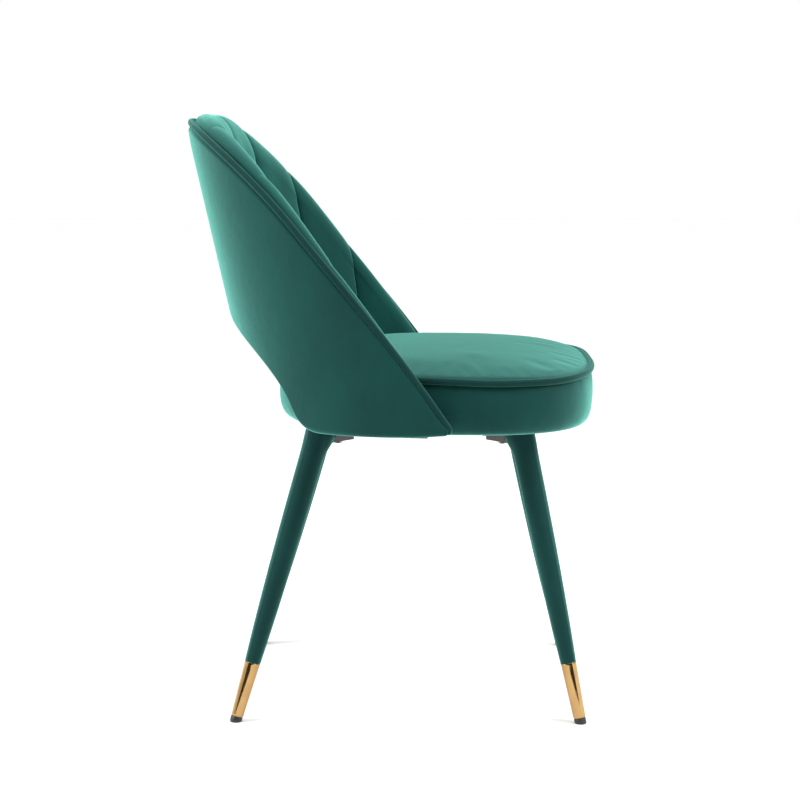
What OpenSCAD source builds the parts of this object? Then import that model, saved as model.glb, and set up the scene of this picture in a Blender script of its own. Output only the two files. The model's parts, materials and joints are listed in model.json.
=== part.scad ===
// Upholstered dining chair with an open, channel-tufted shell back, a round-cornered
// piped seat, crossed steel bars under the seat and four splayed, fabric-covered legs.
// Frame: +Z up, the chair faces -Y, symmetric about X = 0, origin on the floor.

/* [Back shell] */
// Height of the piping line at the middle of the top
back_top = 792; // [770:1:810]
// Half width of the shell, measured on its outer cover
shell_half_w = 256; // [255:0.5:262]
// Lean of the back from vertical
rake = 12.6; // [10:0.1:15]
// Distance from the widest line to the middle of the rear face, taken down to the floor
shell_depth = 192.5; // [192:0.5:200]
// Height of the middle of the open arch under the back
arch_top = 537; // [520:1:550]
// Height of the hem under the wings
hem_z = 398; // [396:1:400]
// Plan angle at which the arch meets the hem
arch_angle = 46.5; // [44:0.5:48]
// Plan angle of the front tips of the wings
tip_angle = 87; // [86:0.5:88]
// Thickness of the padded back at its middle
back_thick = 54; // [44:1:56]
// Thickness of the padded wing at its tip
wing_thick = 21; // [20:0.5:21.5]
// Thickness of the moulded plywood board
board_thick = 9; // [8:0.5:10]
// Thickness of each velvet cover on the back
cover_thick = 2; // [1.5:0.1:2.5]
// Outer radius of all the piping
piping_r = 4.8; // [4:0.1:5]

/* [Seat] */
// Half width of the seat cushion
seat_half_w = 230; // [222:1:230]
// Reach of the seat behind the widest line
seat_rear = 248; // [240:1:248]
// Reach of the seat in front of the widest line
seat_front = 186.7; // [180:0.1:200]
// Height of the underside of the seat board
seat_board_z = 395; // [393:0.5:396]
// Thickness of the seat board
seat_board_thick = 15; // [12:1:16]
// Height of the piping around the top of the seat
seat_piping_z = 466; // [460:1:472]
// Height of the crown at the middle of the seat
seat_crown_z = 491; // [486:1:500]

/* [Legs] */
// Sideways place of the leg axes under the seat
leg_top_x = 140; // [134:1:146]
// Fore and aft half spacing of the leg axes under the seat
leg_top_y = 135.5; // [130:0.5:140]
// Sideways place of the feet
foot_x = 182.5; // [170:0.5:200]
// Place of the rear feet
rear_foot_y = 206; // [195:1:220]
// Place of the front feet
front_foot_y = -254; // [-265:1:-240]
// Radius of a covered leg under the seat
leg_top_r = 15.5; // [14:0.1:16]
// Radius of a leg where the ferrule begins
ferrule_top_r = 10.5; // [10:0.1:11.5]
// Radius of a leg at the bottom of the ferrule
ferrule_end_r = 8.3; // [7.9:0.1:9]
// Length of the ferrule
ferrule_len = 75; // [60:1:90]
// Length of the glide below the ferrule
glide_len = 8; // [6:0.5:12]

/* [Under frame] */
// Width of the crossed bars
bar_w = 30; // [26:1:34]
// Height of the crossed bars
bar_h = 19; // [17:0.5:20]
// Radius of the fixing bolts
bolt_r = 3; // [2.5:0.1:3.2]

/* [Hidden] */

velvet = "seagreen";
velvet_dark = "darkgreen";
brass = "goldenrod";
steel = "dimgray";
zinc = "silver";
plywood = "burlywood";
foam = "khaki";
black = "black";

// Plan shape: the widest line lies at mid_y, which centres the chair on the origin from
// front to back, and each outline is a superellipse around it
piping_depth = 4;
piping_k = 0.982;
mid_y = (piping_k*seat_front - shell_depth - tan(rake)*back_top + piping_depth)/2;
shell_power = 2.5;
seat_rear_power = 2.4;
seat_front_power = 3.2;

// Mesh density of the curved, moulded and soft solids
shell_cols = 36;
shell_rows = 5;
ring_sides = 64;
pipe_sides = 8;
pole_k = 0.04;
round_sides = 48;

// Front edge of the shell: a cubic arch over the top that runs into a straight diagonal
edge_turn = 53.5;
edge_drop = 134;
edge_slope = 3*edge_drop/edge_turn;

// Lower edge of the shell: arch, turn and hem, as parts of the way from middle to tip
arch_part = 0.55;
turn_part = 0.7;
arch_stop = 78;
turn_angle = 6;
tip_up = 2.5;

// Padding of the back
thick_power = 3;
swell_min = 0.4;
foam_depth = cover_thick + board_thick;
edge_gap = piping_r + 5;
edge_gap_tip = 4.2;
pad_rise = 11;
pad_rise_side = 9;

// Seat cushion
board_k = 0.93;
foam_round = 8;
foam_gap = 3;
band_thick = 3;
band_in = 0.985;
band_tuck = 0.94;
band_up = 5;
band_round = 26;
seat_cover_thick = 2;
cover_k = 0.966;
crown_power = 3.5;
crown_ease = 0.8;

// Under frame levels and fixing places, measured from the crossing
dust_thick = 1;
frame_z = seat_board_z - dust_thick;
bar_z = frame_z - bar_h;
bar_wall = 2;
cross_y = mid_y + 52;
leg_plane_z = 380;
leg_reach = norm([leg_top_x, leg_top_y]);
cross_angle = atan2(leg_top_y, leg_top_x);
leg_clear = 19;
bar_reach = leg_reach - leg_clear;
leg_bolt_reach = bar_reach - 18;
frame_bolt_reach = 55;
plate_thick = 5;
plate_in = 2;
plate_start = 17;
hole_r = bolt_r + 0.4;
head_r = 6;
head_h = 4;
tee_r = 5;
tee_flange_r = 9;
tee_flange = 1.5;
cut = 0.01;

// Legs
tube_wall = 1.5;
sleeve_thick = 1.5;
ferrule_thick = 1;
leg_extra = 4;
seam_turn = 35;
slot_gap = 0.3;
ferrule_lip = 1;
glide_in = 0.3;
glide_below = 4;
stem_r = 5;
stem_len = 20;
ground = 60;
ground_size = 800;

// Brackets between the wings and the seat board
bracket_w = 30;
bracket_thick = 2;
bracket_h = 42;
bracket_foot = 60;
bracket_gap = 1.2;
front_bracket_a = 77;
rear_bracket_a = 62;
screw_r = 2;
screw_len = 17;
screw_up = [14, 34];
screw_head_r = 4;
screw_head_h = 0.9;
screw_back = 0.6;
bracket_bolt_in = 46;
bracket_bolt_len = 12;

function reach(a, n) = pow(pow(abs(sin(a)), n) + pow(abs(cos(a)), n), -1/n);
function depth_at(z) = shell_depth + tan(rake)*z;
function unit(v) = v/norm(v);

// Point of the shell at plan angle a (0 is the rear middle), height z and depth d inwards
function shell_pt(a, z, d) = [(shell_half_w - d)*sin(a)*reach(a, shell_power),
    mid_y + (depth_at(z) - d)*cos(a)*reach(a, shell_power), z];

// Height of the piping line at plan angle a
function edge_z(a) = a < edge_turn
    ? back_top - edge_drop*pow(a/edge_turn, 3)
    : back_top - edge_drop - edge_slope*(a - edge_turn);

// Lower edge as [angle, height], from the middle of the arch (0) to the wing tip (1)
function arch_pt(u) = [arch_angle*sin(arch_stop*u), hem_z + (arch_top - hem_z)*cos(arch_stop*u)];
function turn_pt(u) = pow(1 - u, 2)*arch_pt(1) + 2*u*(1 - u)*[arch_angle, hem_z]
    + u*u*[arch_angle + turn_angle, hem_z];
function hem_pt(u) = [arch_angle + turn_angle + (tip_angle - arch_angle - turn_angle)*u,
    hem_z + tip_up*pow(u, 4)];
function low_pt(t) = t < arch_part ? arch_pt(t/arch_part)
    : t < turn_part ? turn_pt((t - arch_part)/(turn_part - arch_part))
    : hem_pt((t - turn_part)/(1 - turn_part));

// Gap from the piping line to the board's edge, and the pad's rise above the piping line
function board_gap(t) = edge_gap - (edge_gap - edge_gap_tip)*pow(t, 6);
function pad_up(t) = (pad_rise + pad_rise_side*pow(sin(180*t), 2))*(1 - pow(t, 6));

// Depth of the pad's face at plan angle a, part s of the way from lower edge to top edge
function pad_depth(a) = wing_thick + (back_thick - wing_thick)*pow(cos(a), thick_power);
function pad_swell(s) = swell_min + (1 - swell_min)*sqrt(1 - pow(abs(2*s - 1), 4));
function pad_face(a, s) = foam_depth + (pad_depth(a) - foam_depth)*pad_swell(s);

// Plan angle and height for t from wing tip (-1) to wing tip (1) and s from low to top edge
function shell_az(t, s, rise) = let (low = low_pt(abs(t)), a = tip_angle*abs(t),
    top = edge_z(a) - board_gap(abs(t)) + rise)
    [low[0] + (a - low[0])*s, low[1] + (top - low[1])*s];
function board_pt(t, s, d) = let (p = shell_az(t, s, 0)) shell_pt(sign(t)*p[0], p[1], d);
function pad_pt(t, s, back_by) = let (p = shell_az(t, s, board_gap(abs(t)) + pad_up(abs(t))))
    shell_pt(sign(t)*p[0], p[1], pad_face(p[0], s) - back_by);

// Plan outline of the seat at angle a from the rear, scaled by k
function seat_pt(a, k, z) = let (c = cos(a),
    n = c < 0 ? seat_front_power : seat_rear_power, b = c < 0 ? seat_front : seat_rear)
    [k*seat_half_w*sin(a)*reach(a, n), mid_y + k*b*c*reach(a, n), z];
function crown_z(k) = seat_piping_z
    + (seat_crown_z - seat_piping_z)*pow(1 - pow(k, crown_power), crown_ease);

// Joins rings of equal length into one closed solid, with the given end faces
module loft(rings, closed, ends) {
    n = len(rings[0]);
    m = len(rings);
    sides = [for (i = [0:m - (closed ? 1 : 2)]) for (j = [0:n - 1])
        let (p = i*n, q = ((i + 1) % m)*n, k = (j + 1) % n)
        for (f = [[p + j, p + k, q + k], [p + j, q + k, q + j]]) f];
    polyhedron([for (r = rings) for (p = r) p], concat(sides, ends));
}

// End faces made of quads across a ring of n points, for the first and the last of m rings
function cross_ends(n, m) = [for (j = [0:n/2 - 2]) let (b = (m - 1)*n)
    for (f = [[j, n - 1 - j, n - 2 - j], [j, n - 2 - j, j + 1],
              [b + j, b + n - 2 - j, b + n - 1 - j], [b + j, b + j + 1, b + n - 2 - j]]) f];

// A closed layer of the shell between two surfaces given as functions of (t, s)
module layer(outer, inner) {
    rings = [for (i = [0:shell_cols]) let (t = 2*i/shell_cols - 1)
        concat([for (j = [0:shell_rows]) outer(t, j/shell_rows)],
               [for (j = [shell_rows:-1:0]) inner(t, j/shell_rows)])];
    loft(rings, false, cross_ends(len(rings[0]), len(rings)));
}

// A round welt along a path; across(i) gives a direction that is never along the path
module welt(path, across, closed) {
    m = len(path);
    rings = [for (i = [0:m - 1]) let (
        prev = path[closed ? (i + m - 1) % m : max(i - 1, 0)],
        next = path[closed ? (i + 1) % m : min(i + 1, m - 1)],
        along = unit(next - prev), side = unit(cross(along, across(i))), up = cross(side, along))
        [for (j = [0:pipe_sides - 1]) let (w = 360*j/pipe_sides)
            path[i] + piping_r*(cos(w)*side + sin(w)*up)]];
    loft(rings, closed, closed ? [] : cross_ends(pipe_sides, m));
}

// Rings of the seat outline stacked as [scale, height] pairs, with flat ends
module seat_stack(profile) {
    n = ring_sides;
    b = (len(profile) - 1)*n;
    rings = [for (p = profile) [for (i = [0:n - 1]) seat_pt(360*i/n, p[0], p[1])]];
    loft(rings, false, [[for (i = [n - 1:-1:0]) i], [for (i = [0:n - 1]) b + i]]);
}

// A band around the seat whose cross-section is the closed [scale, height] profile
module seat_ring(profile) {
    rings = [for (i = [0:ring_sides - 1]) [for (p = profile) seat_pt(360*i/ring_sides, p[0], p[1])]];
    loft(rings, true, []);
}

module back_outer_cover() {
    color(velvet)
        layer(function (t, s) board_pt(t, s, 0), function (t, s) board_pt(t, s, cover_thick));
}

module back_board() {
    color(plywood)
        layer(function (t, s) board_pt(t, s, cover_thick), function (t, s) board_pt(t, s, foam_depth));
}

module back_foam() {
    color(foam)
        layer(function (t, s) board_pt(t, s, foam_depth), function (t, s) pad_pt(t, s, cover_thick));
}

module back_inner_cover() {
    color(velvet_dark)
        layer(function (t, s) pad_pt(t, s, cover_thick), function (t, s) pad_pt(t, s, 0));
}

module back_piping() {
    m = 2*shell_cols;
    path = [for (i = [0:m]) let (a = tip_angle*(2*i/m - 1)) shell_pt(a, edge_z(abs(a)), piping_depth)];
    color(velvet) welt(path, function (i) [path[i][0], path[i][1] - mid_y, 0], false);
}

// Holes for the bolts that come up through the frame
module bolt_holes(r, z, h) {
    for (q = [0:3]) at_bar(q) for (x = [frame_bolt_reach, leg_bolt_reach])
        translate([x, 0, z]) cylinder(r = r, h = h, $fn = round_sides);
}

// Puts its children in the frame of one bar arm: +X runs out from the crossing
module at_bar(q) {
    turn = [cross_angle, 180 - cross_angle, 180 + cross_angle, -cross_angle][q];
    translate([0, cross_y, 0]) rotate([0, 0, turn]) children();
}

module seat_board() {
    outline = [for (i = [0:ring_sides - 1]) let (p = seat_pt(360*i/ring_sides, board_k, 0)) [p[0], p[1]]];
    color(plywood) difference() {
        translate([0, 0, seat_board_z]) linear_extrude(seat_board_thick) polygon(outline);
        bolt_holes(tee_r + 0.2, seat_board_z - 1, seat_board_thick + 2);
        bracket_places() translate([-bracket_bolt_in, 0, seat_board_z - 1])
            cylinder(r = screw_r + 0.1, h = seat_board_thick - 3, $fn = round_sides);
    }
}

module seat_foam() {
    low = seat_board_z + seat_board_thick + 2*tee_flange;
    inner = 1 - band_thick/seat_half_w - 0.004;
    color(foam) seat_stack(concat(
        [[board_k - 0.02, low], [inner, low + foam_round], [inner, seat_piping_z - piping_r - foam_gap]],
        [for (k = [0.95:-0.13:pole_k]) [k, crown_z(k) - seat_cover_thick - 1]]));
}

module seat_top_cover() {
    steps = [0.3, 0.55, 0.75, 0.87, 0.94];
    rim = crown_z(0.94) - seat_cover_thick;
    color(velvet) seat_stack(concat(
        [[pole_k, crown_z(pole_k) - seat_cover_thick]],
        [for (k = steps) [k, crown_z(k) - seat_cover_thick]],
        [[cover_k, rim - seat_cover_thick], [cover_k, rim]],
        [for (i = [len(steps) - 1:-1:0]) [steps[i], crown_z(steps[i])]],
        [[pole_k, crown_z(pole_k)]]));
}

module seat_band() {
    top = seat_piping_z - piping_r - 0.5;
    b = band_thick/seat_half_w;
    low = seat_board_z + band_up;
    outer = [[band_in, top], [1, low + band_round], [0.99, low + band_round/2],
             [0.965, low + band_round/6], [band_tuck, low]];
    inner = [[band_tuck, low + band_thick], [0.965 - b/2, low + band_round/4],
             [0.99 - b, low + 0.6*band_round], [1 - b, low + band_round], [band_in - b, top]];
    color(velvet_dark) seat_ring(concat(outer, inner));
}

module seat_piping() {
    path = [for (i = [0:ring_sides - 1]) seat_pt(360*i/ring_sides, piping_k, seat_piping_z)];
    color(velvet) welt(path, function (i) [0, 0, 1], true);
}

module dust_cover() {
    outline = [for (i = [0:ring_sides - 1])
        let (p = seat_pt(360*i/ring_sides, board_k - 0.01, 0)) [p[0], p[1]]];
    color(black) difference() {
        translate([0, 0, frame_z]) linear_extrude(dust_thick) polygon(outline);
        bolt_holes(hole_r, frame_z - 1, dust_thick + 2);
        bracket_places() translate([-bracket_bolt_in, 0, frame_z - 1])
            cylinder(r = screw_r + 0.4, h = dust_thick + 2, $fn = round_sides);
    }
}

module tee_nuts() {
    color(zinc) for (q = [0:3]) at_bar(q) for (x = [frame_bolt_reach, leg_bolt_reach])
        translate([x, 0, 0]) difference() {
            union() {
                translate([0, 0, seat_board_z + 3])
                    cylinder(r = tee_r, h = seat_board_thick - 3 + cut, $fn = round_sides);
                translate([0, 0, seat_board_z + seat_board_thick])
                    cylinder(r = tee_flange_r, h = tee_flange, $fn = round_sides);
            }
            translate([0, 0, seat_board_z]) cylinder(r = hole_r, h = 2*seat_board_thick, $fn = round_sides);
        }
}

// A square-cornered steel tube from x0 to x1 along one arm, with bolt holes right through
module bar(x0, x1, holes) {
    difference() {
        translate([x0, -bar_w/2, bar_z]) cube([x1 - x0, bar_w, bar_h]);
        translate([x0 - 1, -bar_w/2 + bar_wall, bar_z + bar_wall])
            cube([x1 - x0 + 2, bar_w - 2*bar_wall, bar_h - 2*bar_wall]);
        for (x = holes) translate([x, 0, bar_z - 1])
            cylinder(r = hole_r, h = bar_h + 2, $fn = round_sides);
    }
}

arm_holes = [frame_bolt_reach, leg_bolt_reach];

module cross_bar_long() {
    color(steel) at_bar(0) bar(-bar_reach, bar_reach, concat(arm_holes, -arm_holes));
}

// The shorter bars are cut along the side of the long one
module cross_bar_half(q) {
    color(steel) difference() {
        at_bar(q) bar(0, bar_reach, arm_holes);
        at_bar(0) translate([-bar_reach, -bar_w/2 - cut, bar_z - 1])
            cube([2*bar_reach, bar_w + 2*cut, bar_h + 2]);
    }
}

module cross_bar_left() { cross_bar_half(3); }
module cross_bar_right() { cross_bar_half(1); }

// A bolt pointing up from z, with a round head below
module bolt(r, z, len, head) {
    translate([0, 0, z]) cylinder(r = r, h = len, $fn = round_sides);
    translate([0, 0, z - head_h]) cylinder(r = head, h = head_h, $fn = round_sides);
}

bolt_top = seat_board_z + seat_board_thick + tee_flange;

module frame_bolts() {
    color(zinc) for (q = [0:3]) at_bar(q) translate([frame_bolt_reach, 0, 0])
        bolt(bolt_r, bar_z, bolt_top - bar_z, head_r);
}

module leg_bolts() {
    z = bar_z - plate_thick;
    color(zinc) for (q = [0:3]) at_bar(q) translate([leg_bolt_reach, 0, 0])
        bolt(bolt_r, z, bolt_top - z, head_r);
}

// Puts its children in a leg's own frame: +Z runs up the leg's axis from the floor, and
// seam_turn keeps the round faces' seam lines off the planes that cut them
module at_leg(side, rear) {
    foot = [side*foot_x, rear ? rear_foot_y : front_foot_y, 0];
    top = [side*leg_top_x, cross_y + (rear ? 1 : -1)*leg_top_y, leg_plane_z];
    v = top - foot;
    translate(foot) rotate([0, acos(v[2]/norm(v)), atan2(v[1], v[0])])
        rotate([0, 0, seam_turn]) children();
}

ferrule_z = glide_len + ferrule_len;
leg_len = norm([leg_top_x - foot_x, cross_y + leg_top_y - rear_foot_y, leg_plane_z]);

// The leg's taper between the ferrule and the top, thinner by the given amount and
// longer at both ends by the given amount
module leg_cone(by, over) {
    translate([0, 0, ferrule_z - over])
        cylinder(r1 = ferrule_top_r - by, r2 = leg_top_r - by,
                 h = leg_len + leg_extra - ferrule_z + 2*over, $fn = round_sides);
}

// The part of a leg tube inside the ferrule, thinner by the given amount
module leg_end(by, over) {
    translate([0, 0, glide_len + ferrule_lip - over])
        cylinder(r1 = ferrule_end_r - ferrule_thick - by, r2 = ferrule_top_r - sleeve_thick - by,
                 h = ferrule_len - ferrule_lip + over + cut, $fn = round_sides);
}

module leg_tube(side, rear) {
    color(steel) at_leg(side, rear) difference() {
        union() {
            leg_cone(sleeve_thick, 0);
            leg_end(0, 0);
        }
        leg_cone(sleeve_thick + tube_wall, cut);
        leg_end(tube_wall, cut);
    }
}

// The arm of the under frame that a leg is bolted to
function arm_of(side, rear) = rear ? (side > 0 ? 0 : 1) : (side > 0 ? 3 : 2);

// A flat bar that runs in from the axis of a leg to its bolt, larger all round by gap
module plate_bar(side, rear, gap) {
    at_bar(arm_of(side, rear))
        translate([leg_bolt_reach - plate_start, plate_in - bar_w/2 - gap, bar_z - plate_thick - gap])
            cube([leg_reach - leg_bolt_reach + plate_start, bar_w - 2*plate_in + 2*gap, plate_thick + 2*gap]);
}

module leg_plate(side, rear) {
    color(steel) difference() {
        plate_bar(side, rear, 0);
        at_leg(side, rear) leg_cone(sleeve_thick, 0);
        at_bar(arm_of(side, rear)) translate([leg_bolt_reach, 0, bar_z - plate_thick - 1])
            cylinder(r = hole_r, h = plate_thick + 2, $fn = round_sides);
    }
}

module leg_sleeve(side, rear) {
    color(velvet) difference() {
        at_leg(side, rear) leg_cone(0, 0);
        at_leg(side, rear) leg_cone(sleeve_thick, cut);
        plate_bar(side, rear, slot_gap);
    }
}

module ferrule(side, rear) {
    color(brass) at_leg(side, rear) difference() {
        translate([0, 0, glide_len])
            cylinder(r1 = ferrule_end_r, r2 = ferrule_top_r, h = ferrule_len - cut, $fn = round_sides);
        leg_end(0, 0);
        translate([0, 0, glide_len - ferrule_lip])
            cylinder(r = stem_r + 0.1, h = 3*ferrule_lip, $fn = round_sides);
    }
}

module glide(side, rear) {
    color(black) difference() {
        at_leg(side, rear) {
            translate([0, 0, -glide_below])
                cylinder(r = ferrule_end_r - glide_in, h = glide_len + glide_below, $fn = round_sides);
            translate([0, 0, glide_len - cut])
                cylinder(r = stem_r, h = stem_len, $fn = round_sides);
        }
        translate([-ground_size/2, -ground_size/2, -ground])
            cube([ground_size, ground_size, ground]);
    }
}

// Stands its children in the gap between seat and wing: +X points out through the wing
module bracket_place(side, a) {
    p = [seat_half_w*sin(a)*reach(a, seat_rear_power), mid_y + seat_rear*cos(a)*reach(a, seat_rear_power)];
    n = [pow(p[0]/seat_half_w, seat_rear_power - 1)/seat_half_w,
         pow((p[1] - mid_y)/seat_rear, seat_rear_power - 1)/seat_rear];
    mirror([side < 0 ? 1 : 0, 0, 0]) translate([p[0], p[1], 0]) rotate([0, 0, atan2(n[1], n[0])])
        translate([bracket_gap, 0, 0]) children();
}

module bracket_places() {
    for (side = [-1, 1]) for (a = [front_bracket_a, rear_bracket_a]) bracket_place(side, a) children();
}

module wing_bracket(side, a) {
    color(steel) bracket_place(side, a) difference() {
        union() {
            translate([0, -bracket_w/2, frame_z - bracket_thick])
                cube([bracket_thick, bracket_w, bracket_h]);
            translate([-bracket_foot, -bracket_w/2, frame_z - bracket_thick])
                cube([bracket_foot + cut, bracket_w, bracket_thick]);
        }
        for (z = screw_up) translate([-1, 0, frame_z + z]) rotate([0, 90, 0])
            cylinder(r = screw_r + 0.2, h = bracket_thick + 2, $fn = round_sides);
        translate([-bracket_bolt_in, 0, frame_z - bracket_thick - 1])
            cylinder(r = screw_r + 0.2, h = bracket_thick + 2, $fn = round_sides);
    }
}

module bracket_bolts() {
    color(zinc) bracket_places() translate([-bracket_bolt_in, 0, 0])
        bolt(screw_r, frame_z - bracket_thick, bracket_bolt_len, screw_head_r);
}

module wing_screws() {
    color(zinc) bracket_places() for (z = screw_up) translate([0, 0, frame_z + z]) rotate([0, 90, 0]) {
        translate([0, 0, -screw_back]) cylinder(r = screw_r, h = screw_len, $fn = round_sides);
        translate([0, 0, -screw_head_h])
            cylinder(r = screw_head_r, h = screw_head_h, $fn = round_sides);
    }
}

back_board();
back_foam();
back_inner_cover();
back_outer_cover();
back_piping();
seat_board();
seat_foam();
seat_top_cover();
seat_band();
seat_piping();
dust_cover();
tee_nuts();
cross_bar_long();
cross_bar_left();
cross_bar_right();
frame_bolts();
leg_bolts();
wing_bracket(1, front_bracket_a);  // wing_bracket_front_left
wing_bracket(-1, front_bracket_a);  // wing_bracket_front_right
wing_bracket(1, rear_bracket_a);  // wing_bracket_rear_left
wing_bracket(-1, rear_bracket_a);  // wing_bracket_rear_right
bracket_bolts();
wing_screws();
leg_tube(1, false);  // leg_tube_front_left
leg_tube(-1, false);  // leg_tube_front_right
leg_tube(1, true);  // leg_tube_rear_left
leg_tube(-1, true);  // leg_tube_rear_right
leg_plate(1, false);  // leg_plate_front_left
leg_plate(-1, false);  // leg_plate_front_right
leg_plate(1, true);  // leg_plate_rear_left
leg_plate(-1, true);  // leg_plate_rear_right
leg_sleeve(1, false);  // leg_sleeve_front_left
leg_sleeve(-1, false);  // leg_sleeve_front_right
leg_sleeve(1, true);  // leg_sleeve_rear_left
leg_sleeve(-1, true);  // leg_sleeve_rear_right
ferrule(1, false);  // ferrule_front_left
ferrule(-1, false);  // ferrule_front_right
ferrule(1, true);  // ferrule_rear_left
ferrule(-1, true);  // ferrule_rear_right
glide(1, false);  // glide_front_left
glide(-1, false);  // glide_front_right
glide(1, true);  // glide_rear_left
glide(-1, true);  // glide_rear_right
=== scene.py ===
import json
import math

import bpy
import numpy as np
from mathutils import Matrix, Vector, noise


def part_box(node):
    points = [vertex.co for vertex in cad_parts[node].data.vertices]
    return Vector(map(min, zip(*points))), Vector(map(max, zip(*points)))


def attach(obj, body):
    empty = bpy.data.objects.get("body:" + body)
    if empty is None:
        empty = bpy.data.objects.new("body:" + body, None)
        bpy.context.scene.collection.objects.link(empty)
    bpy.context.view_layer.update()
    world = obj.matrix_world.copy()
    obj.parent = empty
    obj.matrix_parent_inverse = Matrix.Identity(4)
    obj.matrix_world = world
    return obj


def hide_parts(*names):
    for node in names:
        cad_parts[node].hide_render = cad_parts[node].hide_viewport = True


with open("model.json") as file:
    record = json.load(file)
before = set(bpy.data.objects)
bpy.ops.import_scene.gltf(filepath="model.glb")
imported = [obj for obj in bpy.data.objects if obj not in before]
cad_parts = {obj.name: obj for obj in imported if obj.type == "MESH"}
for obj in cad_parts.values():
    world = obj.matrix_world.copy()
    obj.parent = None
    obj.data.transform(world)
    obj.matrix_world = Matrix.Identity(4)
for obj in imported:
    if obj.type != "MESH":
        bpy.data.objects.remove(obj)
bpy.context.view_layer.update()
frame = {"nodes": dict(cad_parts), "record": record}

# The chair faces -Y, its plane of symmetry is X = 0, and the floor is Z = 0.
# Shapes are worked out in millimetres and become metres when a mesh is made.
MM = 0.001

# Shell of the back: a superellipse in plan that leans back as it rises
SHELL_HALF_W = 256.0
SHELL_DEPTH = 192.5
SHELL_POWER = 2.5
RAKE = math.tan(math.radians(12.6))
BACK_TOP = 792.0
EDGE_TURN = 53.5
EDGE_DROP = 134.0
TIP_ANGLE = 87.0
HEM_Z = 398.0
TIP_UP = 4.0
TOP_ROLL = 2.5
ARCH_TOP = 537.0
ARCH_ANGLE = 46.5
TURN_ANGLE = 6.0
ARCH_PART = 0.46
TURN_PART = 0.58
ARCH_STOP = 78.0
BACK_THICK = 54.0
WING_THICK = 21.0
FOAM_DEPTH = 11.0
PIPING_R = 4.8
PIPING_DEPTH = 4.0

# Sewn channels: the seams between them, as parts of the way from the middle to a wing tip
SEAMS = (0.1115, 0.3264, 0.517, 0.694)

# Seat outline: rounder behind the widest line, squarer in front of it
SEAT_HALF_W = 230.0
SEAT_REAR = 248.0
SEAT_FRONT = 186.7
SEAT_REAR_POWER = 2.4
SEAT_FRONT_POWER = 3.0
# How far the sewn front stands inside the CAD outline
SEAT_FRONT_TUCK = 2.2
PIPING_K = 0.982
SEAT_PIPING_Z = 466.0
SEAT_CROWN_Z = 491.0
PIPING_SAG = 4.0

# Legs, measured along each leg's axis from the floor
LEG_TOP = Vector((140.0, 135.5, 380.0))
LEG_TOP_R = 16.3
LEG_TAPER_POWER = 2.6
FERRULE_TOP_R = 10.5
FERRULE_END_R = 8.3
FERRULE_LEN = 75.0
GLIDE_LEN = 8.0
CROSS_BACK = 52.0
# How far the sleeve runs past the top of the axis, and how long and wide it flares there
SLEEVE_PAST = 7.0
FLARE_LEN = 42.0
FLARE_OUT = 9.0

# The widest line of the shell and seat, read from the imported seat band
MID_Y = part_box("seat_band")[0].y/MM + SEAT_FRONT


# ---------------------------------------------------------------- small maths

def smooth(x):
    x = np.clip(x, 0.0, 1.0)
    return x*x*(3.0 - 2.0*x)


def mix(a, b, u):
    return a + (b - a)*u


def reach(s, c, power):
    """Length of a unit superellipse's radius towards the direction with this sine and cosine."""
    return (np.abs(s)**power + np.abs(c)**power)**(-1.0/power)


def bezier(points, u):
    p0, p1, p2, p3 = (np.asarray(p, float) for p in points)
    u = np.asarray(u)[:, None]
    return (1 - u)**3*p0 + 3*u*(1 - u)**2*p1 + 3*u*u*(1 - u)*p2 + u**3*p3


def noise_at(points, size, seed):
    """Smooth noise from -1 to 1 at each point, with features about `size` mm across."""
    shift = Vector((seed*17.3, seed*5.1, seed*9.7))
    return np.array([noise.noise(Vector(p)/size + shift) for p in points])


def shell_point(degrees, z, depth):
    """Points of the shell at plan angles from the rear middle, heights and depths inwards."""
    s, c = np.sin(np.radians(degrees)), np.cos(np.radians(degrees))
    r = reach(s, c, SHELL_POWER)
    roll = TOP_ROLL*(np.maximum(z - BACK_TOP + 45, 0)/45)**2
    rear = SHELL_DEPTH + RAKE*z - depth - roll
    x = (SHELL_HALF_W - depth)*s*r
    y = MID_Y + rear*c*r
    return np.stack([x, y, z + 0*x], axis=-1)


def edge_z(degrees):
    """Height of the piping line: a cubic arch that runs into a straight diagonal."""
    a = np.abs(degrees)
    arch = BACK_TOP - EDGE_DROP*(a/EDGE_TURN)**3
    line = BACK_TOP - EDGE_DROP - 3*EDGE_DROP/EDGE_TURN*(a - EDGE_TURN)
    return np.where(a < EDGE_TURN, arch, line)


def low_edge(t):
    """Angle and height of the lower edge: the arch, its turn and the hem of the wing."""
    t = np.abs(np.asarray(t, float))
    u = np.radians(ARCH_STOP)*np.clip(t/ARCH_PART, 0, 1)
    a, z = ARCH_ANGLE*np.sin(u), HEM_Z + (ARCH_TOP - HEM_Z)*np.cos(u)
    end = np.radians(ARCH_STOP)
    a1, z1 = ARCH_ANGLE*math.sin(end), HEM_Z + (ARCH_TOP - HEM_Z)*math.cos(end)
    v = np.clip((t - ARCH_PART)/(TURN_PART - ARCH_PART), 0, 1)
    turn_a = (1 - v)**2*a1 + 2*v*(1 - v)*ARCH_ANGLE + v*v*(ARCH_ANGLE + TURN_ANGLE)
    turn_z = (1 - v)**2*z1 + 2*v*(1 - v)*HEM_Z + v*v*HEM_Z
    w = np.clip((t - TURN_PART)/(1 - TURN_PART), 0, 1)
    hem_a = mix(ARCH_ANGLE + TURN_ANGLE, TIP_ANGLE - 0.5, w)
    a = np.where(t < ARCH_PART, a, np.where(t < TURN_PART, turn_a, hem_a))
    z = np.where(t < ARCH_PART, z, np.where(t < TURN_PART, turn_z, HEM_Z + TIP_UP*w**4))
    return a, z


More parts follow.
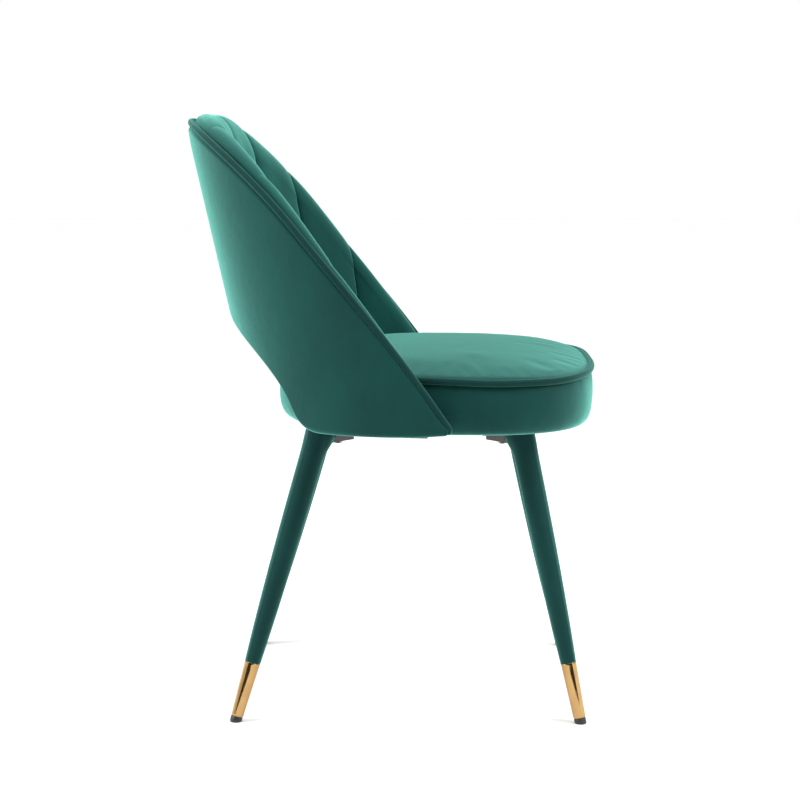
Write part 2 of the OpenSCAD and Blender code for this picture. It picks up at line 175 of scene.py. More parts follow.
def back_column(t, height, depth):
    """Points on one upright column of the back: heights in mm above the lower edge."""
    side = -1.0 if t < 0 else 1.0
    low_a, low_z = (float(v) for v in low_edge(abs(t)))
    top_a = TIP_ANGLE*abs(t)
    top_z = float(edge_z(top_a))
    span = column_span(t)
    s = np.asarray(height)/span
    return shell_point(side*mix(low_a, top_a, s), mix(low_z, top_z, s), np.asarray(depth))


def column_span(t):
    """Straight length of a column, from the lower edge to the piping line."""
    low_a, low_z = (float(v) for v in low_edge(abs(t)))
    top_a = TIP_ANGLE*abs(t)
    ends = shell_point(np.array([low_a, top_a]), np.array([low_z, float(edge_z(top_a))]), 5.0)
    return float(np.linalg.norm(ends[1] - ends[0]))


def seat_point(angle, k, z):
    """Points of the seat outline at plan angles (radians) from the rear, scaled by k."""
    s, c = np.sin(angle), np.cos(angle)
    rear = shape_xy(s, c, SEAT_REAR_POWER, SEAT_REAR)
    front = shape_xy(s, c, SEAT_FRONT_POWER, SEAT_FRONT - SEAT_FRONT_TUCK)
    xy = np.where((c < 0)[..., None], front, rear)
    k, z = np.broadcast_to(k, c.shape), np.broadcast_to(z, c.shape)
    return np.stack([k*xy[..., 0], MID_Y + k*xy[..., 1], z], axis=-1)


def shape_xy(s, c, power, length):
    r = reach(s, c, power)
    return np.stack([SEAT_HALF_W*s*r, length*c*r], axis=-1)


# ---------------------------------------------------------------- mesh making

def make_piece(name, points, faces, material, replaces=()):
    """A smooth mesh piece from points in millimetres, riding on the one body."""
    mesh = bpy.data.meshes.new(name)
    mesh.from_pydata([tuple(p) for p in np.asarray(points)*MM], [], faces)
    mesh.validate()
    mesh.polygons.foreach_set("use_smooth", [True]*len(mesh.polygons))
    piece = bpy.data.objects.new(name, mesh)
    bpy.context.scene.collection.objects.link(piece)
    mesh.materials.append(material)
    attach(piece, "root")
    if replaces:
        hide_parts(*replaces)
    return piece


def grid_faces(rings, count, ring_wrap, loop_wrap):
    """Quads between `rings` rings of `count` points each."""
    faces = []
    for i in range(rings - (0 if loop_wrap else 1)):
        a, b = i*count, ((i + 1) % rings)*count
        for j in range(count - (0 if ring_wrap else 1)):
            k = (j + 1) % count
            faces.append((a + j, a + k, b + k, b + j))
    return faces


def end_cap(start, count, flip):
    """Quads across a ring whose points run out along one side and back along the other."""
    faces = []
    for j in range(count//2 - 1):
        quad = (start + j, start + count - 1 - j, start + count - 2 - j, start + j + 1)
        faces.append(quad[::-1] if flip else quad)
    return faces


def face_out(piece):
    """Turns every face of a closed piece to look outwards."""
    bpy.context.view_layer.objects.active = piece
    piece.select_set(True)
    bpy.ops.object.mode_set(mode="EDIT")
    bpy.ops.mesh.select_all(action="SELECT")
    bpy.ops.mesh.normals_make_consistent(inside=False)
    bpy.ops.object.mode_set(mode="OBJECT")
    piece.select_set(False)


def add_subdivision(piece):
    mod = piece.modifiers.new("smooth", "SUBSURF")
    mod.levels = 1
    mod.render_levels = 1


def sweep(path, across, radius, sides, closed):
    """Rings of a round section along a path; across[i] is never along the path."""
    if closed:
        along = np.roll(path, -1, 0) - np.roll(path, 1, 0)
    else:
        along = np.gradient(path, axis=0)
    along /= np.linalg.norm(along, axis=1)[:, None]
    side = np.cross(along, across)
    side /= np.linalg.norm(side, axis=1)[:, None]
    up = np.cross(side, along)
    w = 2*np.pi*np.arange(sides)/sides
    round_off = np.cos(w)[:, None]*side[:, None, :] + np.sin(w)[:, None]*up[:, None, :]
    return path[:, None, :] + radius*round_off


# ---------------------------------------------------------------- materials

def new_material(name):
    mat = bpy.data.materials.new(name)
    mat.use_nodes = True
    tree = mat.node_tree
    shader = tree.nodes["Principled BSDF"]
    return mat, tree, shader


def node(tree, kind, **values):
    n = tree.nodes.new(kind)
    for key, value in values.items():
        if key.startswith("in_"):
            n.inputs[key[3:].replace("_", " ")].default_value = value
        else:
            setattr(n, key, value)
    return n


def object_place(tree):
    return tree.nodes.new("ShaderNodeTexCoord").outputs["Object"]


def noise_node(tree, place, scale, detail=3.0, roughness=0.55, stretch=None):
    if stretch:
        mapping = node(tree, "ShaderNodeMapping")
        mapping.inputs["Scale"].default_value = stretch
        tree.links.new(place, mapping.inputs["Vector"])
        place = mapping.outputs["Vector"]
    n = node(tree, "ShaderNodeTexNoise", in_Scale=scale, in_Detail=detail, in_Roughness=roughness)
    tree.links.new(place, n.inputs["Vector"])
    return n.outputs["Fac"]


def ramp(tree, factor, stops):
    n = tree.nodes.new("ShaderNodeValToRGB")
    while len(n.color_ramp.elements) < len(stops):
        n.color_ramp.elements.new(0.5)
    for element, (place, colour) in zip(n.color_ramp.elements, stops):
        element.position = place
        element.color = (*colour, 1.0)
    tree.links.new(factor, n.inputs["Fac"])
    return n.outputs["Color"]


def bump(tree, shader, height, distance, strength=1.0, below=None):
    n = node(tree, "ShaderNodeBump", in_Strength=strength, in_Distance=distance)
    tree.links.new(height, n.inputs["Height"])
    if below is not None:
        tree.links.new(below, n.inputs["Normal"])
    tree.links.new(n.outputs["Normal"], shader.inputs["Normal"])
    return n.outputs["Normal"]


def velvet(name, deep, mid, sheen_tint, sheen=1.0):
    """Short-pile velvet: a dark body, brushed patches, fine pile and a pale sheen."""
    mat, tree, shader = new_material(name)
    place = object_place(tree)
    brushed = noise_node(tree, place, 9.0, 4.0, 0.6, stretch=(1.0, 1.0, 0.55))
    colour = ramp(tree, brushed, [(0.25, deep), (0.75, mid)])
    tree.links.new(colour, shader.inputs["Base Color"])
    shader.inputs["Roughness"].default_value = 0.75
    shader.inputs["Specular IOR Level"].default_value = 0.12
    shader.inputs["Sheen Weight"].default_value = sheen
    shader.inputs["Sheen Roughness"].default_value = 0.42
    shader.inputs["Sheen Tint"].default_value = (*sheen_tint, 1.0)
    soft = noise_node(tree, place, 60.0, 3.0, 0.6)
    low = bump(tree, shader, soft, 0.0012, 0.35)
    pile = noise_node(tree, place, 1400.0, 2.0, 0.7)
    bump(tree, shader, pile, 0.0004, 0.45, below=low)
    return mat


def brass(name):
    mat, tree, shader = new_material(name)
    place = object_place(tree)
    tone = noise_node(tree, place, 25.0, 3.0)
    colour = ramp(tree, tone, [(0.3, (0.4, 0.24, 0.095)), (0.7, (0.5, 0.31, 0.13))])
    tree.links.new(colour, shader.inputs["Base Color"])
    shader.inputs["Metallic"].default_value = 1.0
    marks = noise_node(tree, place, 900.0, 2.0, 0.6, stretch=(1.0, 1.0, 0.06))
    rough = ramp(tree, marks, [(0.3, (0.06,)*3), (0.75, (0.12,)*3)])
    tree.links.new(rough, shader.inputs["Roughness"])
    bump(tree, shader, marks, 0.00003, 0.4)
    return mat


def painted_steel(name):
    mat, tree, shader = new_material(name)
    place = object_place(tree)
    tone = noise_node(tree, place, 40.0, 4.0)
    colour = ramp(tree, tone, [(0.3, (0.055, 0.05, 0.052)), (0.7, (0.085, 0.078, 0.08))])
    tree.links.new(colour, shader.inputs["Base Color"])
    orange_peel = noise_node(tree, place, 500.0, 2.0)
    rough = ramp(tree, orange_peel, [(0.3, (0.38,)*3), (0.7, (0.52,)*3)])
    tree.links.new(rough, shader.inputs["Roughness"])
    bump(tree, shader, orange_peel, 0.0002, 0.3)
    return mat


def zinc(name):
    mat, tree, shader = new_material(name)
    place = object_place(tree)
    spangle = noise_node(tree, place, 350.0, 3.0)
    colour = ramp(tree, spangle, [(0.3, (0.48, 0.48, 0.46)), (0.7, (0.66, 0.65, 0.6))])
    tree.links.new(colour, shader.inputs["Base Color"])
    shader.inputs["Metallic"].default_value = 1.0
    rough = ramp(tree, spangle, [(0.3, (0.28,)*3), (0.7, (0.42,)*3)])
    tree.links.new(rough, shader.inputs["Roughness"])
    bump(tree, shader, spangle, 0.0001, 0.3)
    return mat


def plastic(name):
    mat, tree, shader = new_material(name)
    place = object_place(tree)
    grain = noise_node(tree, place, 1200.0, 2.0)
    scuff = noise_node(tree, place, 120.0, 5.0, 0.7)
    colour = ramp(tree, scuff, [(0.35, (0.012, 0.012, 0.013)), (0.8, (0.035, 0.034, 0.034))])
    tree.links.new(colour, shader.inputs["Base Color"])
    rough = ramp(tree, scuff, [(0.3, (0.42,)*3), (0.8, (0.62,)*3)])
    tree.links.new(rough, shader.inputs["Roughness"])
    bump(tree, shader, grain, 0.0001, 0.4)
    return mat


def plywood(name, shade):
    mat, tree, shader = new_material(name)
    place = object_place(tree)
    grain = noise_node(tree, place, 6.0, 6.0, 0.65, stretch=(14.0, 1.2, 14.0))
    tones = [(0.3, (0.46, 0.3, 0.16)), (0.55, (0.64, 0.46, 0.28)), (0.8, (0.72, 0.55, 0.36))]
    colour = ramp(tree, grain, [(at, [shade*c for c in tone]) for at, tone in tones])
    tree.links.new(colour, shader.inputs["Base Color"])
    shader.inputs["Roughness"].default_value = 0.6
    bump(tree, shader, grain, 0.0003, 0.4)
    return mat


def nonwoven(name):
    mat, tree, shader = new_material(name)
    place = object_place(tree)
    fibres = noise_node(tree, place, 700.0, 5.0, 0.75)
    colour = ramp(tree, fibres, [(0.3, (0.012, 0.012, 0.013)), (0.75, (0.04, 0.04, 0.042))])
    tree.links.new(colour, shader.inputs["Base Color"])
    shader.inputs["Roughness"].default_value = 0.95
    bump(tree, shader, fibres, 0.0005, 0.6)
    return mat


# How far the birch is darkened: painted shade, so that wherever the boards show past their covers they
# read as shaded grooves
BOARD_SHADE = 0.06
# One velvet in lit and shaded copies: its own colour on the panels, painted lighter on the channels as
# painted light, and painted darker with less sheen on the tight piping and the legs as painted shade
SHEEN_TINT = (0.3, 0.98, 0.82)
velvet_panel = velvet("velvet", (0.001, 0.028, 0.025), (0.002, 0.05, 0.044), SHEEN_TINT)
# Lighter copy of the velvet: painted light on the channels
velvet_pad_painted_light = velvet("velvet_channels_painted_light", (0.003, 0.046, 0.039), (0.006, 0.08, 0.068), SHEEN_TINT)
# Darker copy of the velvet with less sheen: painted shade on the piping
velvet_welt_painted_shade = velvet("velvet_welt_painted_shade", (0.001, 0.022, 0.02), (0.002, 0.038, 0.034), SHEEN_TINT, 0.45)
# Darker copy of the velvet with less sheen: painted shade on the legs
velvet_leg_painted_shade = velvet("velvet_leg_painted_shade", (0.001, 0.024, 0.023), (0.003, 0.04, 0.037), SHEEN_TINT, 0.8)
brass_mat = brass("gold_plating")
steel_mat = painted_steel("grey_powder_coat")
zinc_mat = zinc("zinc_plating")
plastic_mat = plastic("black_polyethylene")
board_mat = plywood("plywood_painted_shade", BOARD_SHADE)
dust_mat = nonwoven("black_nonwoven")


# ---------------------------------------------------------------- back

def pad_thickness(degrees):
    """Full thickness of the back, greatest at the rear and least in the wings."""
    return WING_THICK + (BACK_THICK - WING_THICK)*np.cos(np.radians(degrees))**2


def seam_columns(per_channel):
    """Column places and how full the channel is there, with columns packed at the seams."""
    marks = [-1.0] + [-s for s in reversed(SEAMS)] + list(SEAMS) + [1.0]
    ts, fulls = [], []
    for i in range(len(marks) - 1):
        c = -np.cos(np.pi*np.arange(per_channel)/per_channel)
        t = mix(marks[i], marks[i + 1], (c + 1)/2)
        if i == 0:
            full = channel_shape(np.clip(c, 0, 1))
        elif i == len(marks) - 2:
            full = channel_shape(np.clip(-c, 0, 1))
        else:
            full = channel_shape(c)
        ts += list(t)
        fulls += list(full)
    return np.array(ts + [1.0]), np.array(fulls + [1.0])


def channel_shape(c):
    """1 on the crest of a channel and 0 in the seam, as a stuffed tube looks in section."""
    return (1 - np.abs(c)**3.0)**0.5


# Makes up for what the rim loses to its curve and to subdivision
PAD_OUT = 1.33
# How far down the pad its rounded rim reaches, and how deep the seams lie there and below
RIM_DOWN = 30.0
RIM_GROOVE = 5.0
FACE_GROOVE = 8.0
# How far the pad stands above the piping, in the middle and at the fullest channels
CREST_MIDDLE = 13.0
CREST_SIDE = 19.5
# Width of the outer panel's fold beside the piping, where the darkened board shows through as painted
# shade in the crease
COVER_FOLD = 8.0
# The foam's least thickness at its rounded edges
PAD_EDGE = 9.0
FACE_ROWS = 56
RIM_ROWS = 12
BACK_ROWS = 5


def pad_rise(t):
    """How far the pad stands above the piping line, along the column."""
    t = abs(t)
    fade = 1 - float(smooth((t - 0.34)/0.72))
    return mix(CREST_MIDDLE, CREST_SIDE, float(smooth(t/0.32)))*fade


def pad_column(t, full):
    """One column of the tufted pad, as (height, depth) pairs right round the section."""
    span = column_span(t)
    low_a = float(low_edge(abs(t))[0])
    top_a = TIP_ANGLE*abs(t)
    down = min(RIM_DOWN, 0.42*span)
    rise = pad_rise(t)
    thick_top, thick_low = float(pad_thickness(top_a)), float(pad_thickness(low_a))
    groove_top = (1 - full)*min(RIM_GROOVE, 0.4*(thick_top - PAD_EDGE))
    groove_low = (1 - full)*min(RIM_GROOVE, 0.4*(thick_low - PAD_EDGE))
    top_d, low_d = thick_top - groove_top, thick_low - groove_low
    lift = (rise + 2.5 - groove_top*0.45)*PAD_OUT
    u = np.linspace(0, 1, RIM_ROWS)
    low_rim = bezier([(-1.5, 8.6), (-4.0, 12.0), (-3.0 + groove_low*0.3, low_d), (down, low_d)], u)
    top_rim = bezier([(span - down, top_d), (span + lift, top_d), (span + lift*0.8, PAD_EDGE),
                      (span - 4.0, 8.4)], u)
    h = np.linspace(down, span - down, FACE_ROWS + 2)[1:-1]
    a = mix(low_a, top_a, h/span)
    deep = mix(RIM_GROOVE, FACE_GROOVE, np.sin(np.pi*h/span)**0.6)
    groove = (1 - full)*np.minimum(deep, 0.4*(pad_thickness(a) - PAD_EDGE))
    face = np.stack([h, pad_thickness(a) - groove], axis=-1)
    back_h = np.linspace(max(span - 13.0, 0.6*span), min(6.0, 0.4*span), BACK_ROWS)
    back = np.stack([back_h, np.full(BACK_ROWS, FOAM_DEPTH + 0.3)], axis=-1)
    return np.concatenate([low_rim, face, top_rim, back])


def build_back_pad():
    ts, fulls = seam_columns(24)
    columns = []
    for t, full in zip(ts, fulls):
        section = pad_column(t, full)
        columns.append(back_column(t, section[:, 0], section[:, 1]))
    count = len(columns[0])
    points = np.concatenate(columns)
    faces = grid_faces(len(columns), count, True, False)
    ends = []
    for start, flip in ((0, True), ((len(columns) - 1)*count, False)):
        ends += end_cap(start, count, flip)
    piece = make_piece("back_pad", points, faces + ends, velvet_pad_painted_light,
                       ("back_inner_cover", "back_foam"))
    face_out(piece)
    add_subdivision(piece)


def build_back_cover():
    """The smooth outer panel, tucked under the piping and wrapped round the lower edge."""
    ts = np.sin(np.linspace(-np.pi/2, np.pi/2, 121))
    columns = []
    for t in ts:
        span = column_span(t)
        tuck = min(6.0, 0.2*span)
        gap = min(COVER_FOLD, 0.4*span)
        top = bezier([(span - 2.5, 8.0), (span - 1.0 - gap, 6.0), (span + 3.5 - gap, -0.5),
                      (span - 2.2*tuck, -0.2)], np.linspace(0, 1, 12))
        h = np.linspace(span - 2.2*tuck, tuck, 30)[1:-1]
        face = np.stack([h, -0.2 - 0.3*(1 - h/span)], axis=-1)
        low = bezier([(tuck, -0.5), (-1.0, -0.9), (-3.2, 3.0), (-1.4, 10.0)], np.linspace(0, 1, 9))
        outer = np.concatenate([top, face, low])
        columns.append(back_column(t, outer[:, 0], outer[:, 1]))
    count = len(columns[0])
    faces = grid_faces(len(columns), count, False, False)
    piece = make_piece("back_outer_panel", np.concatenate(columns), faces, velvet_panel,
                       ("back_outer_cover",))
    thick = piece.modifiers.new("cloth", "SOLIDIFY")
    thick.thickness = 1.4*MM
    thick.offset = -1.0
    add_subdivision(piece)


def build_back_piping():
    a = TIP_ANGLE*np.sin(np.linspace(-np.pi/2, np.pi/2, 181))
    path = shell_point(a, edge_z(a), PIPING_DEPTH)
    foot = []
    for side in (-1, 1):
        end = shell_point(np.array([side*TIP_ANGLE]), edge_z(np.array([TIP_ANGLE])), PIPING_DEPTH)[0]
        foot.append([end + np.array((0, 2.5*u, -4.0*u)) for u in (1.0, 0.5)])
    path = np.concatenate([foot[0], path, foot[1][::-1]])
    across = np.stack([path[:, 0], path[:, 1] - MID_Y, 0*path[:, 0]], axis=-1)
    rings = sweep(path, across, PIPING_R, 14, False)
    points = rings.reshape(-1, 3)
    faces = grid_faces(len(rings), 14, True, False)
    faces += end_cap(0, 14, True) + end_cap((len(rings) - 1)*14, 14, False)
    piece = make_piece("back_welt", points, faces, velvet_welt_painted_shade, ("back_piping",))
    face_out(piece)
    add_subdivision(piece)


# ---------------------------------------------------------------- seat

def sag(angle):
    """How far the seam dips along the sides of the front half of the seat."""
    a = np.degrees(np.abs(np.arctan2(np.sin(angle), np.cos(angle))))
    return PIPING_SAG*smooth((a - 70)/35)*(1 - smooth((a - 125)/40))


def crown(k):
    """Height of the cushion's top: nearly flat, then rounding down to its seam at k = 1."""
    return np.clip(1 - np.clip(k, 0, 1)**5.5, 0, 1)**0.75


def disc_grid(n):
    """A square grid bent into a disc: plan angle from the rear and radius of each point."""
    u, v = np.meshgrid(np.linspace(-1, 1, n), np.linspace(-1, 1, n), indexing="ij")
    x, y = u*np.sqrt(1 - v*v/2), v*np.sqrt(1 - u*u/2)
    return np.arctan2(x, y), np.clip(np.hypot(x, y), 0, 1)


def build_seat_top():
    n = 76
    angle, k = disc_grid(n)
    edge = 0.972
    rise = SEAT_CROWN_Z - SEAT_PIPING_Z - 4.0
    top = seat_point(angle, k*edge, SEAT_PIPING_Z + 1.0 + rise*crown(k) - sag(angle)*k**4)
    low = seat_point(angle, k*edge*0.995, SEAT_PIPING_Z - 5.0 - sag(angle)*k)
    index = np.arange(n*n).reshape(n, n)
    border = np.zeros((n, n), bool)
    border[0, :] = border[-1, :] = border[:, 0] = border[:, -1] = True
    low_index = index + n*n
    low_index[border] = index[border]
    points = np.concatenate([top.reshape(-1, 3), low.reshape(-1, 3)])
    faces = []
    for i in range(n - 1):
        for j in range(n - 1):
            faces.append((index[i, j], index[i + 1, j], index[i + 1, j + 1], index[i, j + 1]))
            faces.append((low_index[i, j], low_index[i, j + 1], low_index[i + 1, j + 1],
                          low_index[i + 1, j]))
    used = sorted({v for f in faces for v in f})
    remap = {v: i for i, v in enumerate(used)}
    faces = [tuple(remap[v] for v in f) for f in faces]
    points = points[used]
    piece = make_piece("seat_cushion", points, faces, velvet_panel,
                       ("seat_top_cover", "seat_foam"))
    face_out(piece)
    radius = np.concatenate([k.reshape(-1), k.reshape(-1)])[used]
    is_top = np.array(used) < n*n
    inflate(piece, radius, is_top)
    settle_crown(piece, is_top)
    add_subdivision(piece)


def inflate(piece, radius, is_top):
    """Puffs the top panel up from its sewn border with a short cloth simulation."""
    start = np.array([v.co for v in piece.data.vertices])
    held = piece.vertex_groups.new(name="held")
    for i, (r, top) in enumerate(zip(radius, is_top)):
        weight = 1.0 if not top else float(smooth((r - 0.93)/0.05))
        if weight > 0:
            held.add([i], weight, "REPLACE")
    mod = piece.modifiers.new("puff", "CLOTH")
    cloth = mod.settings
    cloth.quality = 6
    cloth.mass = 0.3
    cloth.tension_stiffness = 12
    cloth.compression_stiffness = 12
    cloth.shear_stiffness = 6
    cloth.bending_stiffness = 2.0
    cloth.use_pressure = True
    cloth.uniform_pressure_force = 3.0
    cloth.effector_weights.gravity = 0.0
    cloth.shrink_min = -0.004
    cloth.vertex_group_mass = "held"
    cloth.pin_stiffness = 1.0
    mod.collision_settings.use_collision = False
    mod.point_cache.frame_start = 1
    mod.point_cache.frame_end = 20
    for f in range(1, 21):
        bpy.context.scene.frame_set(f)
    graph = bpy.context.evaluated_depsgraph_get()
    done = piece.evaluated_get(graph)
    end = np.array([v.co for v in done.data.vertices])
    piece.modifiers.remove(mod)
    bpy.context.scene.frame_set(1)
    move = end - start
    length = np.linalg.norm(move, axis=1)
    cap = 10*MM
    move *= np.where(length > cap, cap/np.maximum(length, 1e-9), 1.0)[:, None]
    piece.data.vertices.foreach_set("co", (start + move).ravel())
    piece.data.update()


def settle_crown(piece, is_top):
    """Scales the puffed height so that the crown stands where the seat's does."""
    co = np.array([v.co for v in piece.data.vertices])
    base = SEAT_PIPING_Z*MM
    high = co[:, 2].max()
    rise = is_top & (co[:, 2] > base)
    co[rise, 2] = base + (co[rise, 2] - base)*(SEAT_CROWN_Z*MM - base)/(high - base)
    piece.data.vertices.foreach_set("co", co.ravel())
    piece.data.update()


def build_seat_band():
    """The side band, bulging between the welt and its rounded lower edge."""
    n = 256
    angle = 2*np.pi*np.arange(n)/n
    # The section, as parts of the seat's outline and heights
    upper = bezier([(0.955, 463.5), (0.97, 460.5), (0.99, 459.0), (0.996, 444.0)],
                   np.linspace(0, 1, 10))
    lower = bezier([(0.996, 444.0), (1.004, 424.0), (1.0, 398.0), (0.948, 394.2)],
                   np.linspace(0, 1, 16))[1:]
    under = np.array([(0.93, 393.2), (0.915, 392.6), (0.91, 393.2)])
    inner = np.array([(0.93, 394.4), (0.948, 396.5), (0.968, 408.0), (0.975, 432.0), (0.95, 459.0)])
    profile = np.concatenate([upper, lower, under, inner])
    drop = sag(angle)
    rings = [seat_point(angle, k, z - drop*smooth((z - 410.0)/40.0)) for k, z in profile]
    flat = np.stack(rings, axis=1).reshape(-1, 3)
    out = np.stack([flat[:, 0], flat[:, 1] - MID_Y, 0*flat[:, 0]], axis=-1)
    out /= np.linalg.norm(out, axis=1)[:, None]
    high = flat[:, 2]
    pucker = smooth((high - 436.0)/20.0) + 0.7*smooth((420.0 - high)/20.0)
    ripple = noise_at(flat*(1.0, 1.0, 0.3), 15.0, 1)*0.7*pucker + noise_at(flat, 70.0, 2)*1.2
    flat = flat + out*ripple[:, None]
    piece = make_piece("seat_side_band", flat, grid_faces(n, len(profile), True, True),
                       velvet_panel, ("seat_band",))
    face_out(piece)
    add_subdivision(piece)


def build_seat_piping():
    n = 220
    angle = 2*np.pi*np.arange(n)/n
    path = seat_point(angle, PIPING_K, SEAT_PIPING_Z - sag(angle))
    rings = sweep(path, np.tile((0.0, 0.0, 1.0), (n, 1)), PIPING_R, 14, True)
    piece = make_piece("seat_welt", rings.reshape(-1, 3), grid_faces(n, 14, True, True),
                       velvet_welt_painted_shade, ("seat_piping",))
    face_out(piece)
    add_subdivision(piece)


# ---------------------------------------------------------------- legs

def leg_axis(name):
    """Foot and top of a leg's axis, and two directions across it, the first pointing inboard."""
    mount = next(m for m in frame["record"]["mounts"] if m["name"] == "rest_" + name)
    foot = np.array(mount["pos_m"])/MM
    side = 1.0 if "left" in name else -1.0
    rear = 1.0 if "rear" in name else -1.0
    top = np.array([side*LEG_TOP.x, MID_Y + CROSS_BACK + rear*LEG_TOP.y, LEG_TOP.z])
    along = (top - foot)/np.linalg.norm(top - foot)
    inboard = np.array([0.0, MID_Y + CROSS_BACK, top[2]]) - top
    inboard -= along*inboard.dot(along)
    inboard /= np.linalg.norm(inboard)
    return foot, top, along, inboard, np.cross(along, inboard)


def lathe(name, leg, profile, sides, material, replaces, shape=None, floor=None):
    """Turns a (distance up the axis, radius) profile round a leg's axis."""
    foot, _, along, inboard, across = leg
    w = 2*np.pi*np.arange(sides)/sides
    rings = []
    for up, radius in profile:
        r = np.full(sides, radius)
        if shape is not None:
            r = shape(up, w, r)
        ring = foot + up*along + r[:, None]*(np.cos(w)[:, None]*inboard + np.sin(w)[:, None]*across)
        if floor is not None:
            ring += np.maximum(floor - ring[:, 2:3], 0)/along[2]*along
        rings.append(ring)
    points = np.concatenate(rings)
    faces = grid_faces(len(rings), sides, True, False)
    faces += [tuple(range(sides))[::-1], tuple(range(len(points) - sides, len(points)))]
    piece = make_piece(name, points, faces, material, replaces)
    face_out(piece)
    return piece


def build_leg(name):
    leg = leg_axis(name)
    length = float(np.linalg.norm(leg[1] - leg[0])) + SLEEVE_PAST
    start = GLIDE_LEN + FERRULE_LEN

    def sleeve_shape(up, w, r):
        near_top = smooth((up - (length - FLARE_LEN))/FLARE_LEN)
        flare = FLARE_OUT*near_top**1.6*np.clip(np.cos(w), 0, 1)**1.5 + 1.2*near_top
        ridge = 0.5*np.exp(-((w - np.pi)/0.05)**2)
        folds = 0.5*near_top*np.sin(5*w + up*0.09)*np.sin(2*w + 1.0)
        return r + flare + ridge + folds

    ups = np.concatenate([[start - 6.0, start - 1.0], np.linspace(start, length - FLARE_LEN - 3.0, 40),
                          np.linspace(length - FLARE_LEN, length, 14)])
    radii = [mix(FERRULE_TOP_R - 0.9, FERRULE_TOP_R - 0.1, (u - start + 6)/6) if u < start
             else mix(FERRULE_TOP_R + 0.1, LEG_TOP_R,
                      1 - ((length - u)/(length - start))**LEG_TAPER_POWER) for u in ups]
    profile = [(ups[0], 6.0)] + list(zip(ups, radii))
    sleeve = lathe("leg_cover_" + name, leg, profile, 48, velvet_leg_painted_shade,
                   ("leg_sleeve_" + name,), shape=sleeve_shape)
    add_subdivision(sleeve)

    low, high = GLIDE_LEN, GLIDE_LEN + FERRULE_LEN
    shell = [(low, 6.2), (low, FERRULE_END_R - 0.7), (low + 0.25, FERRULE_END_R - 0.2),
             (low + 0.8, FERRULE_END_R)]
    shell += [(mix(low + 0.8, high - 0.8, u), mix(FERRULE_END_R, FERRULE_TOP_R, u))
              for u in np.linspace(0.02, 0.98, 8)]
    shell += [(high - 0.5, FERRULE_TOP_R + 0.12), (high - 0.1, FERRULE_TOP_R + 0.02),
              (high, FERRULE_TOP_R - 0.35), (high - 0.6, FERRULE_TOP_R - 0.9), (high - 6.0, 8.5)]
    lathe("leg_tip_" + name, leg, shell, 64, brass_mat, ("ferrule_" + name,))

    r = FERRULE_END_R - 0.35
    foot = [(-4.0, r - 1.0), (-1.0, r - 0.6), (0.6, r - 0.15), (1.6, r), (GLIDE_LEN - 1.6, r),
            (GLIDE_LEN - 0.9, r - 0.7), (GLIDE_LEN + 0.2, r - 0.9), (GLIDE_LEN + 0.4, 5.0),
            (GLIDE_LEN + 20.0, 4.8)]
    lathe("leg_glide_" + name, leg, foot, 48, plastic_mat, ("glide_" + name,),
          floor=0.0)


# ---------------------------------------------------------------- hidden and metal CAD parts

def finish_cad_nodes():
    """Gives every CAD node that stays its own material, and bevels the steel parts."""
    # Both boards are darkened as painted shade where they show past the covers
    looks = {"back_board": board_mat, "seat_board": board_mat, "dust_cover": dust_mat}
    for name, obj in frame["nodes"].items():
        if name in looks:
            mat = looks[name]
        elif name.startswith(("cross_bar", "leg_tube", "leg_plate", "wing_bracket")):
            mat = steel_mat
        elif name.startswith(("tee_nuts", "frame_bolts", "leg_bolts", "bracket_bolts", "wing_screws")):
            mat = zinc_mat
        else:
            mat = velvet_panel
        obj.data.materials.clear()
        obj.data.materials.append(mat)
        if mat is steel_mat or mat is zinc_mat:
            bevel = obj.modifiers.new("edges", "BEVEL")
            bevel.width = (0.7 if mat is steel_mat else 0.4)*MM
            bevel.segments = 2
            bevel.limit_method = "ANGLE"
            bevel.harden_normals = True


# ---------------------------------------------------------------- studio

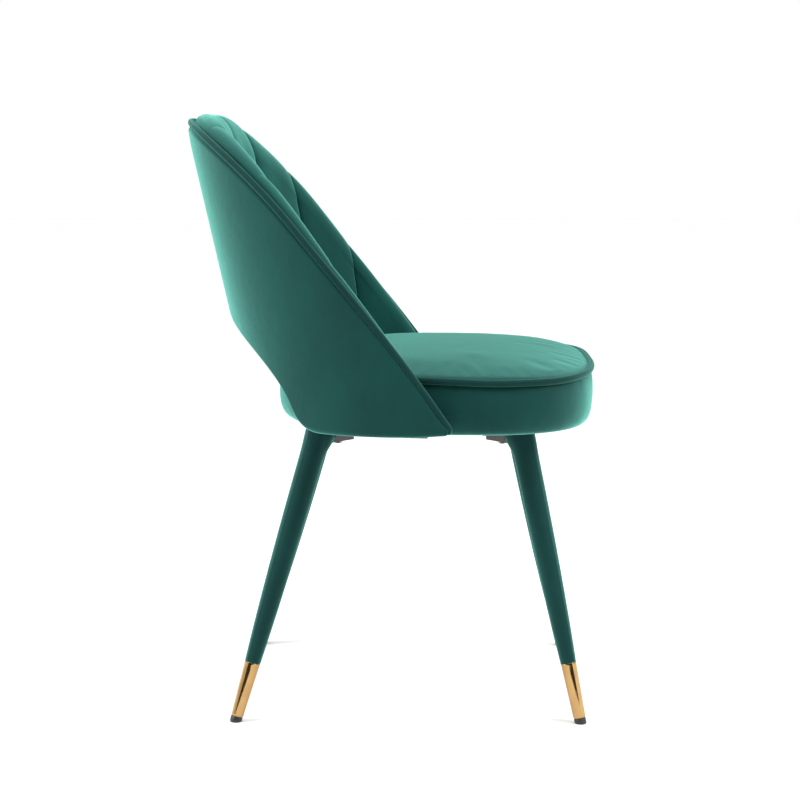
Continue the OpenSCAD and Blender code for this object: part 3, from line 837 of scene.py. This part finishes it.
def build_studio():
    mesh = bpy.data.meshes.new("floor")
    size = 14.0
    mesh.from_pydata([(-size, -size, 0), (size, -size, 0), (size, size, 0), (-size, size, 0)], [],
                     [(0, 1, 2, 3)])
    floor = bpy.data.objects.new("floor", mesh)
    bpy.context.scene.collection.objects.link(floor)
    mat, tree, shader = new_material("studio_floor")
    shader.inputs["Base Color"].default_value = (0.95, 0.95, 0.95, 1)
    shader.inputs["Roughness"].default_value = 0.7
    shader.inputs["Specular IOR Level"].default_value = 0.2
    mesh.materials.append(mat)

    world = bpy.data.worlds.new("studio")
    world.use_nodes = True
    tree = world.node_tree
    way = tree.nodes.new("ShaderNodeTexCoord").outputs["Generated"]
    split = tree.nodes.new("ShaderNodeSeparateXYZ")
    tree.links.new(way, split.inputs["Vector"])
    light = node(tree, "ShaderNodeMapRange")
    light.interpolation_type = "SMOOTHSTEP"
    for key, value in (("From Min", -0.92), ("From Max", -0.3), ("To Min", 0.1), ("To Max", 1.0)):
        light.inputs[key].default_value = value
    tree.links.new(split.outputs["X"], light.inputs["Value"])
    tree.links.new(light.outputs["Result"], tree.nodes["Background"].inputs["Strength"])
    tree.nodes["Background"].inputs["Color"].default_value = (1, 1, 1, 1)
    bpy.context.scene.world = world

    # A black card, seen only by reflections, draws the dark line down the gold tips
    card = bpy.data.meshes.new("flag")
    away, half, high = 0.6, 0.8, 0.35
    card.from_pydata([(-away, -half, 0), (-away, half, 0), (-away, half, high),
                      (-away, -half, high)], [], [(0, 1, 2, 3)])
    flag = bpy.data.objects.new("flag", card)
    bpy.context.scene.collection.objects.link(flag)
    mat, tree, shader = new_material("studio_flag")
    shader.inputs["Base Color"].default_value = (0.03, 0.03, 0.03, 1)
    shader.inputs["Roughness"].default_value = 1.0
    card.materials.append(mat)
    flag.visible_camera = flag.visible_shadow = flag.visible_diffuse = False

    # Very soft light from straight above keeps the floor as white as the background
    sun = bpy.data.objects.new("ceiling_light", bpy.data.lights.new("ceiling_light", "SUN"))
    sun.data.energy = 0.55
    sun.data.angle = math.radians(70)
    bpy.context.scene.collection.objects.link(sun)
    for name, place, size, power in (
            ("key_light", (-0.6, 2.5, 1.8), 1.3, 68.0),
            ("front_light", (-0.8, -2.1, 2.3), 1.2, 52.0),
            ("top_light", (0.2, 0.0, 2.8), 1.6, 10.0)):
        data = bpy.data.lights.new(name, "AREA")
        data.shape = "SQUARE"
        data.size = size
        data.energy = power
        lamp = bpy.data.objects.new(name, data)
        lamp.location = place
        aim = Vector((0, 0, 0.5)) - Vector(place)
        lamp.rotation_euler = aim.to_track_quat("-Z", "Y").to_euler()
        bpy.context.scene.collection.objects.link(lamp)
    bpy.context.scene.view_settings.view_transform = "Standard"


def build_camera():
    """Exactly side-on from the sitter's right, a little above seat height."""
    data = bpy.data.cameras.new("camera")
    data.lens = 79.2
    data.sensor_width = 36.0
    cam = bpy.data.objects.new("camera", data)
    pitch, yaw = math.radians(8.565), math.radians(0.985)
    look = Vector((math.cos(pitch)*math.cos(yaw), math.cos(pitch)*math.sin(yaw), -math.sin(pitch)))
    cam.location = (-2.439, -0.0523, 0.7741)
    cam.rotation_euler = look.to_track_quat("-Z", "Y").to_euler()
    bpy.context.scene.collection.objects.link(cam)
    bpy.context.scene.camera = cam


build_camera()
build_studio()
finish_cad_nodes()
build_back_pad()
build_back_cover()
build_back_piping()
build_seat_top()
build_seat_band()
build_seat_piping()
for leg_name in ("front_left", "front_right", "rear_left", "rear_right"):
    build_leg(leg_name)

bpy.context.view_layer.update()
